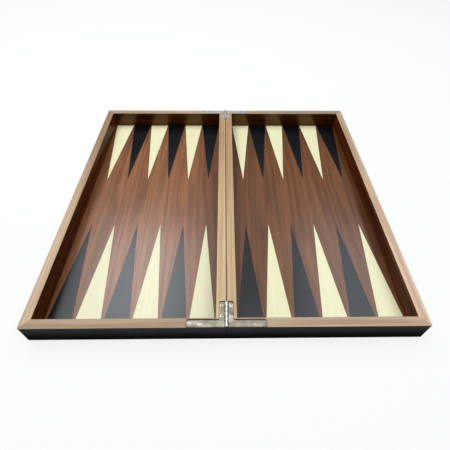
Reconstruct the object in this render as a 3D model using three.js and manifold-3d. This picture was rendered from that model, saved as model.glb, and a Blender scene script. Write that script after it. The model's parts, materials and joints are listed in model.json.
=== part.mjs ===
// Folding backgammon board, opened flat: two mitred walnut trays with inlaid points, joined by two
// mortised box hinges. Millimetres, +Z up. The origin is on the table under the middle of the fold line,
// +X runs across both trays and +Y along the fold line, away from the player.

import * as THREE from 'three';
import { mergeVertices } from 'three/addons/utils/BufferGeometryUtils.js';
import Module from 'manifold-3d';

// Overall sizes of the open board
const BOARD_WIDTH = 500;
const BOARD_DEPTH = 495;
const TRAY_HEIGHT = 35;

// Room at the fold: each spine face keeps clear of the fold line, and the pin axis lies above the rims
const SPINE_CLEARANCE = 0.3;
const AXIS_RISE = 0.2;

// Tray frame and its black outside
const RAIL_WIDTH = 12.7;
const RIM_ARRIS = 0.6;
const CORNER_RADIUS = 2;
const SPINE_ARRIS = 0.6;
const LIP_HEIGHT = 1;
const BAND_THICKNESS = 1;
const BASE_THICKNESS = 4.5;
const BASE_EDGE_RADIUS = 4;
const GLUE_LINE = 0.1;

// Inlaid playing surface
const VENEER_THICKNESS = 1;
const POINTS_PER_ROW = 6;
const POINT_LENGTH = 179;
const POINT_SPACING = 1.5;
const FIELD_MARGIN = 1.4;
const INLAY_GAP = 0.1;

// Hinge leaf: a long arm on the end rail and a short leg on the centre rail
const HINGE_INSET = 0.8;
const LEAF_THICKNESS = 1.6;
const LEAF_ARRIS = 0.3;
const ARM_REACH = 49;
const ARM_WIDTH = 9;
const ARM_FRONT_RADIUS = 1.2;
const ARM_END_RADIUS = 3;
const LEG_REACH = 9;
const LEG_LENGTH = 33.5;
const LEG_END_RADIUS = 2.5;
const LEAF_FILLET = 1.2;

// Hinge barrel and pin
const KNUCKLE_COUNT = 5;
const KNUCKLE_RADIUS = 2.2;
const KNUCKLE_GAP = 0.3;
const KNUCKLE_CLEARANCE = 0.35;
const TAB_OVERLAP = 0.8;
const PIN_RADIUS = 1.1;
const PIN_CLEARANCE = 0.1;
const PIN_ARRIS = 0.3;

// Mortise around a leaf, wider at its two inner ends where a dark slit shows
const MORTISE_GAP = 0.25;
const MORTISE_SLIT = 1.3;
const MORTISE_FLOOR_GAP = 0.1;

// Countersunk screws, placed by their distance from the pin axis or from the tray's end face
const SCREW_HEAD_RADIUS = 2.5;
const SCREW_HEAD_EDGE = 0.25;
const SCREW_SHANK_RADIUS = 1.25;
const SCREW_LENGTH = 13;
const SCREW_POINT_LENGTH = 2.5;
const SCREW_SINK = 0.1;
const SCREW_CLEARANCE = 0.15;
const RECESS_SPAN = 3;
const RECESS_WIDTH = 0.65;
const RECESS_DEPTH = 0.9;
const ARM_SCREW_DISTANCES = [33, 45];
const LEG_SCREW_DISTANCES = [15.5, 30];

// Facets
const ARC_SEGMENTS = 4;
const BARREL_SEGMENTS = 24;
const SCREW_SEGMENTS = 14;
const CUT_MARGIN = 1;

// Places worked out from the sizes above
const TRAY_WIDTH = BOARD_WIDTH / 2 - SPINE_CLEARANCE;
const TRAY_CENTRE_X = SPINE_CLEARANCE + TRAY_WIDTH / 2;
const RAIL_BOTTOM = BASE_THICKNESS + GLUE_LINE;
const BAND_TOP = TRAY_HEIGHT - LIP_HEIGHT - GLUE_LINE;
const FIELD_WIDTH = TRAY_WIDTH - 2 * (RAIL_WIDTH + GLUE_LINE);
const FIELD_DEPTH = BOARD_DEPTH - 2 * (RAIL_WIDTH + GLUE_LINE);
const POINT_PITCH = (FIELD_WIDTH - 2 * FIELD_MARGIN + POINT_SPACING) / POINTS_PER_ROW;
const POINT_HALF_BASE = (POINT_PITCH - POINT_SPACING) / 2;
const LEAF_INNER_EDGE = KNUCKLE_RADIUS + KNUCKLE_CLEARANCE;
const ARM_MIDDLE = HINGE_INSET + ARM_WIDTH / 2;
const LEG_MIDDLE = (LEAF_INNER_EDGE + LEG_REACH) / 2;

const wasm = await Module();
wasm.setup();

// Finishes, one for each kind of surface
const FINISHES = {
  rail: { color: 0xb8966f, roughness: 0.45, metalness: 0 },
  lacquer: { color: 0x171719, roughness: 0.3, metalness: 0 },
  field: { color: 0x7c4e35, roughness: 0.25, metalness: 0 },
  light: { color: 0xe9e3bd, roughness: 0.25, metalness: 0 },
  dark: { color: 0x1b1c1e, roughness: 0.25, metalness: 0 },
  nickel: { color: 0xc8c5ba, roughness: 0.28, metalness: 1 },
};

function piece(name, geometry, finish) {
  const faceted = geometry.index ? geometry.toNonIndexed() : geometry;
  faceted.computeVertexNormals();
  const mesh = new THREE.Mesh(faceted, new THREE.MeshStandardMaterial(FINISHES[finish]));
  mesh.name = name;
  return mesh;
}

// Closed geometry to a solid that can be joined and cut, and back
function toSolid(geometry) {
  const bare = new THREE.BufferGeometry();
  bare.setAttribute('position', geometry.getAttribute('position'));
  bare.setIndex(geometry.index);
  const welded = mergeVertices(bare, 1e-4);
  const corners = welded.index.array;
  const triVerts = [];
  for (let i = 0; i < corners.length; i += 3) {
    const [a, b, c] = corners.subarray(i, i + 3);
    if (a !== b && b !== c && c !== a) {
      triVerts.push(a, b, c);
    }
  }
  return new wasm.Manifold(new wasm.Mesh({
    numProp: 3,
    vertProperties: welded.getAttribute('position').array,
    triVerts: Uint32Array.from(triVerts),
  }));
}

function toGeometry(solid) {
  const { vertProperties, triVerts } = solid.getMesh();
  const geometry = new THREE.BufferGeometry();
  geometry.setAttribute('position', new THREE.BufferAttribute(vertProperties, 3));
  geometry.setIndex(new THREE.BufferAttribute(triVerts, 1));
  return geometry;
}

function cutAway(solid, cutters) {
  return cutters.reduce((left, cutter) => left.subtract(cutter), solid);
}

// Closed outline through corners [x, y, radius], with an arc at each corner that has a radius
function roundedOutline(corners) {
  const points = corners.flatMap(([x, y, radius], i) => {
    const corner = new THREE.Vector2(x, y);
    if (!radius) {
      return [corner];
    }
    const before = new THREE.Vector2(...corners.at(i - 1)).sub(corner).normalize();
    const after = new THREE.Vector2(...corners[(i + 1) % corners.length]).sub(corner).normalize();
    const half = Math.acos(before.dot(after)) / 2;
    const bisector = before.clone().add(after).normalize();
    const centre = corner.clone().addScaledVector(bisector, radius / Math.sin(half));
    const start = corner.clone().addScaledVector(before, radius / Math.tan(half)).sub(centre);
    const end = corner.clone().addScaledVector(after, radius / Math.tan(half)).sub(centre);
    const sweep = Math.atan2(start.cross(end), start.dot(end));
    return Array.from({ length: ARC_SEGMENTS + 1 }, (_, step) => {
      const turn = sweep * step / ARC_SEGMENTS;
      return start.clone().rotateAround(new THREE.Vector2(), turn).add(centre);
    });
  });
  return new THREE.Shape(points);
}

// Upright prism of an outline in plan, between two heights
function prism(shape, bottom, top) {
  const options = { depth: top - bottom, bevelEnabled: false };
  return new THREE.ExtrudeGeometry(shape, options).translate(0, 0, bottom);
}

// Straight moulding of a section drawn in (across, height), centred on the origin and lying along X
function moulding(section, length) {
  const options = { depth: length, bevelEnabled: false };
  const alongX = new THREE.Matrix4().makeBasis(
    new THREE.Vector3(0, 1, 0),
    new THREE.Vector3(0, 0, 1),
    new THREE.Vector3(1, 0, 0),
  );
  return new THREE.ExtrudeGeometry(section, options).translate(0, 0, -length / 2).applyMatrix4(alongX);
}

// Round bar along Y, from one distance to another
function roundBar(radius, from, to) {
  return new THREE.CylinderGeometry(radius, radius, to - from, BARREL_SEGMENTS).translate(0, (from + to) / 2, 0);
}

function trayOutline() {
  const x = TRAY_WIDTH / 2;
  const y = BOARD_DEPTH / 2;
  const spine = SPINE_ARRIS;
  const r = CORNER_RADIUS;
  return roundedOutline([[-x, -y, spine], [x, -y, r], [x, y, r], [-x, y, spine]]);
}

// Section of a rail: u runs in from the outer face, and a lip at the top hides the band's upper edge
function railSection() {
  const face = BAND_THICKNESS + GLUE_LINE;
  return roundedOutline([
    [face, RAIL_BOTTOM, 0],
    [RAIL_WIDTH, RAIL_BOTTOM, 0],
    [RAIL_WIDTH, TRAY_HEIGHT, RIM_ARRIS],
    [0, TRAY_HEIGHT, RIM_ARRIS],
    [0, TRAY_HEIGHT - LIP_HEIGHT, 0],
    [face, TRAY_HEIGHT - LIP_HEIGHT, 0],
  ]);
}

// One rail of the frame, cut to 45 degrees at both ends and turned to its side of the tray
function mitredRail(length, reach, quarterTurns) {
  const geometry = moulding(railSection(), length);
  const position = geometry.getAttribute('position');
  const relief = GLUE_LINE / Math.SQRT2;
  for (let i = 0; i < position.count; i += 1) {
    const end = length / 2 - position.getY(i) - relief;
    position.setX(i, Math.sign(position.getX(i)) * end);
  }
  return geometry.translate(0, -reach, 0).rotateZ(quarterTurns * Math.PI / 2);
}

// Plan of a hinge leaf on the +X side: y runs in from the tray's end face, x from the pin axis
function leafCorners(innerEdge, near, nearRadius, gap, slit) {
  const far = HINGE_INSET + ARM_WIDTH + slit;
  const legSide = LEG_REACH + gap;
  const legEnd = HINGE_INSET + LEG_LENGTH + slit;
  const armEnd = ARM_REACH + gap;
  return [
    [innerEdge, near, 0],
    [armEnd, near, nearRadius],
    [armEnd, far, ARM_END_RADIUS],
    [legSide, far, LEAF_FILLET],
    [legSide, legEnd, LEG_END_RADIUS],
    [innerEdge, legEnd, 0],
  ];
}

function screwPlaces() {
  return [
    ...ARM_SCREW_DISTANCES.map((distance) => [distance, ARM_MIDDLE]),
    ...LEG_SCREW_DISTANCES.map((distance) => [LEG_MIDDLE, distance]),
  ];
}

// Everything that a hinge takes out of one end of a tray: leaf mortise, barrel groove and screw holes.
// The mortise runs out through the end face, so that the leaf's edge lies close behind it.
// The end is -1 at the tray's front and 1 at its back.
function hingeCutters(end) {
  const inward = (y) => end * (BOARD_DEPTH / 2 - y);
  const plan = leafCorners(-CUT_MARGIN, -CUT_MARGIN, 0, MORTISE_GAP, MORTISE_SLIT);
  const mortise = plan.map(([x, y, r]) => [x, inward(y), r]);
  const floor = TRAY_HEIGHT - LEAF_THICKNESS - MORTISE_FLOOR_GAP;
  const ends = [inward(-CUT_MARGIN), inward(HINGE_INSET + LEG_LENGTH + MORTISE_SLIT)].sort((a, b) => a - b);
  const groove = roundBar(LEAF_INNER_EDGE, ...ends).translate(0, 0, TRAY_HEIGHT + AXIS_RISE);
  const holeDepth = SCREW_SINK + SCREW_LENGTH + SCREW_CLEARANCE;
  const holeRadius = SCREW_SHANK_RADIUS + SCREW_CLEARANCE;
  const holes = screwPlaces().map(([x, y]) => {
    const hole = new THREE.CylinderGeometry(holeRadius, holeRadius, holeDepth, SCREW_SEGMENTS);
    return hole.rotateX(Math.PI / 2).translate(x, inward(y), TRAY_HEIGHT - holeDepth / 2);
  });
  const mortiseBlock = prism(roundedOutline(mortise), floor, TRAY_HEIGHT + CUT_MARGIN);
  return [mortiseBlock, groove, ...holes].map((cutter) => toSolid(cutter.translate(-TRAY_CENTRE_X, 0, 0)));
}

// Base panel under the whole tray, with its lower edges rounded over on the three outer sides
function basePanel() {
  const section = (width, farRadius) => roundedOutline([
    [-width / 2, 0, BASE_EDGE_RADIUS],
    [width / 2, 0, farRadius],
    [width / 2, BASE_THICKNESS, 0],
    [-width / 2, BASE_THICKNESS, 0],
  ]);
  const acrossDepth = moulding(section(BOARD_DEPTH, BASE_EDGE_RADIUS), TRAY_WIDTH);
  const acrossWidth = moulding(section(TRAY_WIDTH, SPINE_ARRIS), BOARD_DEPTH).rotateZ(Math.PI / 2);
  const plan = prism(trayOutline(), 0, BASE_THICKNESS);
  return toGeometry(toSolid(acrossDepth).intersect(toSolid(acrossWidth)).intersect(toSolid(plan)));
}

// Black band around the four outer faces, let in under the rim's lip
function edgeBand(cutters) {
  const x = TRAY_WIDTH / 2 - BAND_THICKNESS;
  const y = BOARD_DEPTH / 2 - BAND_THICKNESS;
  const outline = trayOutline();
  outline.holes.push(roundedOutline([[-x, -y, 0], [-x, y, 0], [x, y, 0], [x, -y, 0]]));
  return toGeometry(cutAway(toSolid(prism(outline, RAIL_BOTTOM, BAND_TOP)), cutters));
}

function pointCentre(index) {
  return -FIELD_WIDTH / 2 + FIELD_MARGIN + POINT_HALF_BASE + index * POINT_PITCH;
}

// Walnut veneer with a V-shaped notch for each point, kept clear of the point by the inlay gap
function fieldVeneer() {
  const slant = Math.hypot(POINT_LENGTH, POINT_HALF_BASE);
  const halfMouth = POINT_HALF_BASE + INLAY_GAP * slant / POINT_LENGTH;
  const notchDepth = POINT_LENGTH + INLAY_GAP * slant / POINT_HALF_BASE;
  const edge = FIELD_DEPTH / 2;
  const corners = [];
  for (const side of [-1, 1]) {
    corners.push([side * FIELD_WIDTH / 2, side * edge, 0]);
    for (let i = 0; i < POINTS_PER_ROW; i += 1) {
      const centre = pointCentre(side < 0 ? i : POINTS_PER_ROW - 1 - i);
      corners.push([centre + side * halfMouth, side * edge, 0]);
      corners.push([centre, side * (edge - notchDepth), 0]);
      corners.push([centre - side * halfMouth, side * edge, 0]);
    }
    corners.push([-side * FIELD_WIDTH / 2, side * edge, 0]);
  }
  return prism(roundedOutline(corners), 0, VENEER_THICKNESS);
}

function pointInlay() {
  const outline = roundedOutline([[-POINT_HALF_BASE, 0, 0], [POINT_HALF_BASE, 0, 0], [0, POINT_LENGTH, 0]]);
  return prism(outline, 0, VENEER_THICKNESS);
}

// One tray, built as the right-hand one: its spine faces -X and its near end -Y
function tray(side, near, far) {
  const group = new THREE.Group();
  const nearCutters = hingeCutters(-1);
  const farCutters = hingeCutters(1);
  const plan = toSolid(prism(trayOutline(), 0, TRAY_HEIGHT));
  const rails = [
    [`${side}_${near}_rail`, TRAY_WIDTH, BOARD_DEPTH / 2, 0],
    [`${side}_side_rail`, BOARD_DEPTH, TRAY_WIDTH / 2, 1],
    [`${side}_${far}_rail`, TRAY_WIDTH, BOARD_DEPTH / 2, 2],
    [`${side}_centre_rail`, BOARD_DEPTH, TRAY_WIDTH / 2, 3],
  ];
  for (const [name, length, reach, quarterTurns] of rails) {
    const blank = toSolid(mitredRail(length, reach, quarterTurns)).intersect(plan);
    group.add(piece(name, toGeometry(cutAway(blank, [...nearCutters, ...farCutters])), 'rail'));
  }
  group.add(piece(`${side}_edge_band`, edgeBand([...nearCutters, ...farCutters]), 'lacquer'));
  group.add(piece(`${side}_base_panel`, basePanel(), 'lacquer'));

  const surface = new THREE.Group();
  surface.position.z = BASE_THICKNESS + GLUE_LINE;
  surface.add(piece(`${side}_field`, fieldVeneer(), 'field'));
  for (let i = 0; i < POINTS_PER_ROW; i += 1) {
    const nearPoint = piece(`${side}_${near}_point_${i + 1}`, pointInlay(), i % 2 ? 'light' : 'dark');
    nearPoint.position.set(pointCentre(i), -FIELD_DEPTH / 2, 0);
    const farPoint = piece(`${side}_${far}_point_${i + 1}`, pointInlay(), i % 2 ? 'dark' : 'light');
    farPoint.position.set(pointCentre(i), FIELD_DEPTH / 2, 0);
    farPoint.rotation.z = Math.PI;
    surface.add(nearPoint, farPoint);
  }
  group.add(surface);
  group.position.x = TRAY_CENTRE_X;
  return new THREE.Group().add(group);
}

// Hinge leaf with its own knuckles, tabs and countersunk holes; side is 1 for +X and -1 for -X
function hingeLeaf(side, ownsKnuckle) {
  const plan = leafCorners(LEAF_INNER_EDGE, HINGE_INSET, ARM_FRONT_RADIUS, 0, 0);
  const corners = plan.map(([x, y, r]) => [side * x, y, r]);
  const plate = new THREE.ExtrudeGeometry(roundedOutline(corners), {
    depth: LEAF_THICKNESS - 2 * LEAF_ARRIS,
    bevelThickness: LEAF_ARRIS,
    bevelSize: LEAF_ARRIS,
    bevelOffset: -LEAF_ARRIS,
    bevelSegments: 1,
  }).translate(0, 0, LEAF_ARRIS - LEAF_THICKNESS);
  let leaf = toSolid(plate);

  const pitch = LEG_LENGTH / KNUCKLE_COUNT;
  const tabWidth = LEAF_INNER_EDGE + TAB_OVERLAP - PIN_RADIUS - PIN_CLEARANCE;
  const tabHeight = LEAF_THICKNESS - 2 * LEAF_ARRIS;
  for (let i = 0; i < KNUCKLE_COUNT; i += 1) {
    if (ownsKnuckle(i)) {
      const start = HINGE_INSET + i * pitch + KNUCKLE_GAP / 2;
      const end = start + pitch - KNUCKLE_GAP;
      const tab = new THREE.BoxGeometry(tabWidth, end - start, tabHeight);
      const tabX = side * (LEAF_INNER_EDGE + TAB_OVERLAP - tabWidth / 2);
      tab.translate(tabX, (start + end) / 2, -LEAF_THICKNESS / 2);
      const knuckle = roundBar(KNUCKLE_RADIUS, start, end).translate(0, 0, AXIS_RISE);
      leaf = leaf.add(toSolid(tab)).add(toSolid(knuckle));
    }
  }

  const bore = roundBar(PIN_RADIUS + PIN_CLEARANCE, -CUT_MARGIN, HINGE_INSET + LEG_LENGTH + CUT_MARGIN);
  const holes = screwPlaces().map(([x, y]) => countersink().translate(side * x, y, 0));
  return toGeometry(cutAway(leaf, [bore.translate(0, 0, AXIS_RISE), ...holes].map(toSolid)));
}

// Turned piece standing on +Z, from a profile of [radius, height] that starts and ends on the axis
function turned(profile, segments) {
  const points = profile.map(([radius, height]) => new THREE.Vector2(radius, height));
  return new THREE.LatheGeometry(points, segments).rotateX(Math.PI / 2);
}

function countersink() {
  const shank = SCREW_SHANK_RADIUS + SCREW_CLEARANCE;
  const head = SCREW_HEAD_RADIUS + SCREW_CLEARANCE;
  const coneTop = -SCREW_SINK - SCREW_HEAD_EDGE;
  return turned([
    [0, -LEAF_THICKNESS - CUT_MARGIN],
    [shank, -LEAF_THICKNESS - CUT_MARGIN],
    [shank, coneTop - head + shank],
    [head, coneTop],
    [head, CUT_MARGIN],
    [0, CUT_MARGIN],
  ], SCREW_SEGMENTS);
}

// Flat-headed wood screw with a cross recess; its height 0 is the rim plane
function screw() {
  const coneTop = -SCREW_SINK - SCREW_HEAD_EDGE;
  const blank = turned([
    [0, -SCREW_SINK - SCREW_LENGTH],
    [SCREW_SHANK_RADIUS, -SCREW_SINK - SCREW_LENGTH + SCREW_POINT_LENGTH],
    [SCREW_SHANK_RADIUS, coneTop - SCREW_HEAD_RADIUS + SCREW_SHANK_RADIUS],
    [SCREW_HEAD_RADIUS, coneTop],
    [SCREW_HEAD_RADIUS, -SCREW_SINK],
    [0, -SCREW_SINK],
  ], SCREW_SEGMENTS);
  const slot = new THREE.BoxGeometry(RECESS_SPAN, RECESS_WIDTH, 2 * RECESS_DEPTH).translate(0, 0, -SCREW_SINK);
  const crossSlot = slot.clone().rotateZ(Math.PI / 2);
  return toGeometry(cutAway(toSolid(blank), [toSolid(slot), toSolid(crossSlot)]));
}

function hingePin() {
  const length = LEG_LENGTH - KNUCKLE_GAP;
  const pin = turned([
    [0, 0],
    [PIN_RADIUS - PIN_ARRIS, 0],
    [PIN_RADIUS, PIN_ARRIS],
    [PIN_RADIUS, length - PIN_ARRIS],
    [PIN_RADIUS - PIN_ARRIS, length],
    [0, length],
  ], BARREL_SEGMENTS);
  return pin.rotateX(-Math.PI / 2).translate(0, HINGE_INSET + KNUCKLE_GAP / 2, AXIS_RISE);
}

// One hinge, built as the front one: the leaf on -X holds the outer knuckles and the pin
function hinge(end, minusSide, plusSide) {
  const group = new THREE.Group();
  const leaves = [
    [minusSide, -1, (i) => i % 2 === 0],
    [plusSide, 1, (i) => i % 2 === 1],
  ];
  for (const [name, side, ownsKnuckle] of leaves) {
    group.add(piece(`${end}_hinge_${name}_leaf`, hingeLeaf(side, ownsKnuckle), 'nickel'));
    screwPlaces().forEach(([x, y], i) => {
      const fixing = piece(`${end}_hinge_${name}_screw_${i + 1}`, screw(), 'nickel');
      fixing.position.set(side * x, y, 0);
      group.add(fixing);
    });
  }
  group.add(piece(`${end}_hinge_pin`, hingePin(), 'nickel'));
  group.position.set(0, -BOARD_DEPTH / 2, TRAY_HEIGHT);
  return new THREE.Group().add(group);
}

const rightTray = tray('right', 'front', 'back');
const leftTray = tray('left', 'back', 'front');
leftTray.rotation.z = Math.PI;
const frontHinge = hinge('front', 'left', 'right');
const backHinge = hinge('back', 'right', 'left');
backHinge.rotation.z = Math.PI;

const board = new THREE.Group();
board.add(leftTray, rightTray, frontHinge, backHinge);

export default board;
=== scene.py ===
# %% [markdown]
# # A folding backgammon board, dressed in Blender
#
# The construction of this board is already finished: two mitred walnut trays, an inlaid playing field and
# two mortised hinges come from the imported CAD model. This lesson gives them their looks. Wood, lacquer and
# metal are node materials, and the hardware that catches the eye is modelled again with finer edges.
#
# The first step loads the CAD model as a fixed frame. Its nodes keep their place and shape, so everything below is
# laid on them or stands in for them.

# %% Load the frame
import json
from math import pi, radians

import bmesh
import bpy
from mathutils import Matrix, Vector


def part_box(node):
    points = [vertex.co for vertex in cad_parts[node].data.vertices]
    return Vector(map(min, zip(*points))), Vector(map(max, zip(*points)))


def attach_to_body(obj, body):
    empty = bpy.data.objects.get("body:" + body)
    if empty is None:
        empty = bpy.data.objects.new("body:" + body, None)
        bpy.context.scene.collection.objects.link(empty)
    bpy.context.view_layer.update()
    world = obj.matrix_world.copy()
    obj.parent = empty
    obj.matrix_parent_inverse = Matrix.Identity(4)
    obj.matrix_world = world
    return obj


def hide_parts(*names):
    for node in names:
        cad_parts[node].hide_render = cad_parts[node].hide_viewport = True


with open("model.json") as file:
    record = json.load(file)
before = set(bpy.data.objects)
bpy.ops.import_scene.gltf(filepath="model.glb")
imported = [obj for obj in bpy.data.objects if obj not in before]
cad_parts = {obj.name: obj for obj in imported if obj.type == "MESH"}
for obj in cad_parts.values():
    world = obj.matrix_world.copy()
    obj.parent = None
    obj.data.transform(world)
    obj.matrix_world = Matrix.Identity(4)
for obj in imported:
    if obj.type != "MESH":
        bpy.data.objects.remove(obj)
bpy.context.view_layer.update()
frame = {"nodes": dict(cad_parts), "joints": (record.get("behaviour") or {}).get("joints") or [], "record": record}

nodes = frame["nodes"]

# %% [markdown]
# ## The camera
#
# The board is seen by someone who sits at it: the camera stands over the near edge and looks down by about
# 48 degrees. Its place could be found by eye, but a board has so many straight edges that the corners in
# the picture allow one answer only, and that answer was worked out. A camera object looks along its own -Z,
# so it is first tilted up from straight down, and only then turned about the vertical. It rolls by under a
# degree, as a hand holds a camera, and the lens is shifted a little sideways, because the picture was
# trimmed more on one side than on the other.

# %% Place the camera
CAMERA_PLACE = (-0.00137, -0.42832, 0.42375)
CAMERA_PITCH = radians(48.39)
CAMERA_YAW = radians(-1.421)
CAMERA_ROLL = radians(0.889)
LENS_MM = 27.391
LENS_SHIFT = -0.0128
SENSOR_MM = 36.0
NEAREST_SEEN = 0.01

bpy.ops.object.select_all(action="DESELECT")
bpy.ops.object.camera_add(location=CAMERA_PLACE)
camera = bpy.context.object
camera.name = "player_camera"
camera.data.lens = LENS_MM
camera.data.sensor_width = SENSOR_MM
camera.data.sensor_fit = "HORIZONTAL"
camera.data.shift_x = LENS_SHIFT
camera.data.clip_start = NEAREST_SEEN
camera.rotation_euler = (pi / 2 - CAMERA_PITCH, 0.0, CAMERA_YAW)
camera.rotation_euler.rotate_axis("Z", CAMERA_ROLL)
scene = bpy.context.scene
scene.camera = camera
scene.view_settings.view_transform = "Standard"
print("camera at", tuple(camera.location), "pitch", round(CAMERA_PITCH, 4))

# %% [markdown]
# ## Nodes without a mouse
#
# Every finish below is a small tree of shader nodes. Adding one by hand is three steps: make the node, set
# its options, plug in its sockets. The helpers do just that, so that a material reads like a recipe. A value
# that is itself a socket is linked, and anything else is typed into the socket.

# %% Helpers: make a node and plug it in
def fill_sockets(tree, node, values):
    for socket, value in values.items():
        if isinstance(value, bpy.types.NodeSocket):
            tree.links.new(value, node.inputs[socket])
        else:
            node.inputs[socket].default_value = value
    return node


def add_node(tree, kind, values=None, **options):
    node = tree.nodes.new("ShaderNode" + kind)
    for name, value in options.items():
        setattr(node, name, value)
    return fill_sockets(tree, node, values or {})


def new_material(name):
    material = bpy.data.materials.new(name)
    material.use_nodes = True
    tree = material.node_tree
    return material, tree, tree.nodes["Principled BSDF"]


print("helpers to make a node and a material are ready")

# %% [markdown]
# ## Small sums with nodes
#
# A painter thinks in steps such as "a little darker", "more of this colour there" and "only near the edge".
# Each of them is one node: a sum, a mix of two colours, or a soft step from one level to another. Given a
# name of their own, they keep the recipes below short enough to read aloud.

# %% Helpers: sums, mixes and soft steps
def calc(tree, operation, *values):
    return add_node(tree, "Math", dict(enumerate(values)), operation=operation).outputs[0]


def scaled(tree, value, share):
    return calc(tree, "MULTIPLY", value, share)


def fade(tree, value, low, high, bottom=0.0, top=1.0):
    values = {"Value": value, "From Min": low, "From Max": high, "To Min": bottom, "To Max": top}
    return add_node(tree, "MapRange", values, interpolation_type="SMOOTHSTEP").outputs[0]


def between(tree, mask, levels):
    return fade(tree, mask, 0.0, 1.0, *levels)


# A Mix node has one set of sockets for numbers, 2 and 3, and another for colours, 6 and 7.
def blend_values(tree, share, first, second):
    return add_node(tree, "Mix", {0: share, 2: first, 3: second}, data_type="FLOAT").outputs[0]


def blend_colours(tree, share, first, second, mode="MIX"):
    values = {0: share, 6: first, 7: second}
    return add_node(tree, "Mix", values, data_type="RGBA", blend_type=mode).outputs[2]


def split(tree, vector):
    return add_node(tree, "SeparateXYZ", {0: vector}).outputs


def shade(tone, share):
    return tuple(share * part for part in tone) + (1.0,)


X_AXIS, Y_AXIS, Z_AXIS = range(3)
print("a tone at half its level:", shade((0.8, 0.6, 0.4), 0.5))

# %% [markdown]
# ## The table
#
# The board lies on a plain white table. A lit white plane alone would turn grey away from the lamps, and the
# table should stay white as far as the eye goes. So its paint is mixed with a plain glow that only the
# camera and mirrored rays see. The rest of the paint keeps the shadow of the board, and bounced light meets
# ordinary white paint.

# %% Lay the table
TABLE_SPAN = 12.0
TABLE_HEIGHT = -0.0002
TABLE_WHITE = (0.95, 0.95, 0.95, 1.0)
TABLE_ROUGHNESS = 0.9
TABLE_GLOW = 0.82
PURE_WHITE = (1.0, 1.0, 1.0, 1.0)


def seen_or_mirrored(tree):
    path = add_node(tree, "LightPath").outputs
    seen = calc(tree, "MAXIMUM", path["Is Camera Ray"], path["Is Glossy Ray"])
    return calc(tree, "MAXIMUM", seen, path["Is Transmission Ray"])


bpy.ops.object.select_all(action="DESELECT")
bpy.ops.mesh.primitive_plane_add(size=TABLE_SPAN, location=(0.0, 0.0, TABLE_HEIGHT))
table = bpy.context.object
table.name = "white_table"
table_white, tree, paint = new_material("table_white")
fill_sockets(tree, paint, {
    "Base Color": TABLE_WHITE,
    "Roughness": TABLE_ROUGHNESS,
    "Specular IOR Level": 0.0,
})
glow = add_node(tree, "Emission", {"Color": PURE_WHITE, "Strength": 1.0})
glow_share = scaled(tree, seen_or_mirrored(tree), TABLE_GLOW)
mixed = add_node(tree, "MixShader", {0: glow_share, 1: paint.outputs[0], 2: glow.outputs[0]})
tree.links.new(mixed.outputs[0], tree.nodes["Material Output"].inputs["Surface"])
table.data.materials.append(table_white)
print("table:", TABLE_SPAN, "m wide")

# %% [markdown]
# ## Three soft lamps
#
# A wide lamp hangs above the board and lights rims, field and table evenly. Two smaller panels hang beyond
# the board, the left one brighter, and do little but show in the lacquer: their reflection lies as a pale
# haze on the points nearest to the player, where black turns slate grey. The panels are a little blue, as
# the light of a window is. Rectangles of light were chosen because their size sets how soft a shadow is,
# and because they mirror as windows do.

# %% Hang the lamps
PLAIN_WHITE = (1.0, 1.0, 1.0)
COOL_WHITE = (0.93, 1.0, 1.05)
BLUE_WHITE = (0.84, 1.01, 1.13)
LAMPS = {
    "wide_lamp": ((0.0, -0.07, 1.60), (2.4, 1.0), 20.0, PLAIN_WHITE),
    "left_panel": ((-0.55, 0.80, 1.50), (0.70, 0.85), 11.4, COOL_WHITE),
    "right_panel": ((0.80, 0.80, 1.50), (0.65, 0.85), 3.8, BLUE_WHITE),
}
for name, (place, size, watts, tint) in LAMPS.items():
    bpy.ops.object.light_add(type="AREA", location=place)
    lamp = bpy.context.object
    lamp.name = name
    lamp.data.shape = "RECTANGLE"
    lamp.data.size, lamp.data.size_y = size
    lamp.data.energy = watts
    lamp.data.color = tint
    print(name, "at", place, "with", watts, "W")

# %% [markdown]
# ## A white room
#
# The world is white where the camera or a reflection looks at it, and only a faint fill where it lights the
# board. One strength for both would either wash out the colours or leave a grey background. Light Path tells
# the two kinds of ray apart.

# %% Light the room
WORLD_FILL = 0.16
world = bpy.data.worlds.new("white_room")
scene.world = world
world.use_nodes = True
tree = world.node_tree
tree.nodes.clear()
room_level = between(tree, seen_or_mirrored(tree), (WORLD_FILL, 1.0))
sky = add_node(tree, "Background", {"Color": PURE_WHITE, "Strength": room_level})
add_node(tree, "OutputWorld", {"Surface": sky.outputs[0]})
print("room: fill", WORLD_FILL)

# %% [markdown]
# ## Dark cloth for the lacquer
#
# Beyond the haze of the panels, the lacquer mirrors the room. A white room would turn the far points grey,
# so a ring of cloth stands round the board, as a photographer would hang it. It is black below and fades to
# a pale grey near the top, because a hard border would draw a line across the field. Only reflections see
# the ring: the camera looks through it, and it takes no light from the board.

# %% Hang the cloth
CLOTH_SIDES = 48
CLOTH_RADIUS = 2.2
CLOTH_HEIGHT = 2.1
CLOTH_DARK_UP_TO = 1.36
CLOTH_PALE_FROM = 1.72
CLOTH_PALE = 0.42
cloth_middle = CLOTH_HEIGHT / 2
bpy.ops.object.select_all(action="DESELECT")
bpy.ops.mesh.primitive_cylinder_add(
    vertices=CLOTH_SIDES, radius=CLOTH_RADIUS, depth=CLOTH_HEIGHT, end_fill_type="NOTHING",
    location=(0.0, 0.0, cloth_middle),
)
cloth = bpy.context.object
cloth.name = "dark_cloth"
cloth.visible_camera = False
cloth.visible_diffuse = False
cloth.visible_shadow = False
cloth.visible_transmission = False
cloth_paint, tree, paint = new_material("dark_cloth")
tree.nodes.remove(paint)
height = split(tree, add_node(tree, "TexCoord").outputs["Object"])[Z_AXIS]
dark_up_to = CLOTH_DARK_UP_TO - cloth_middle
pale_from = CLOTH_PALE_FROM - cloth_middle
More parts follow.
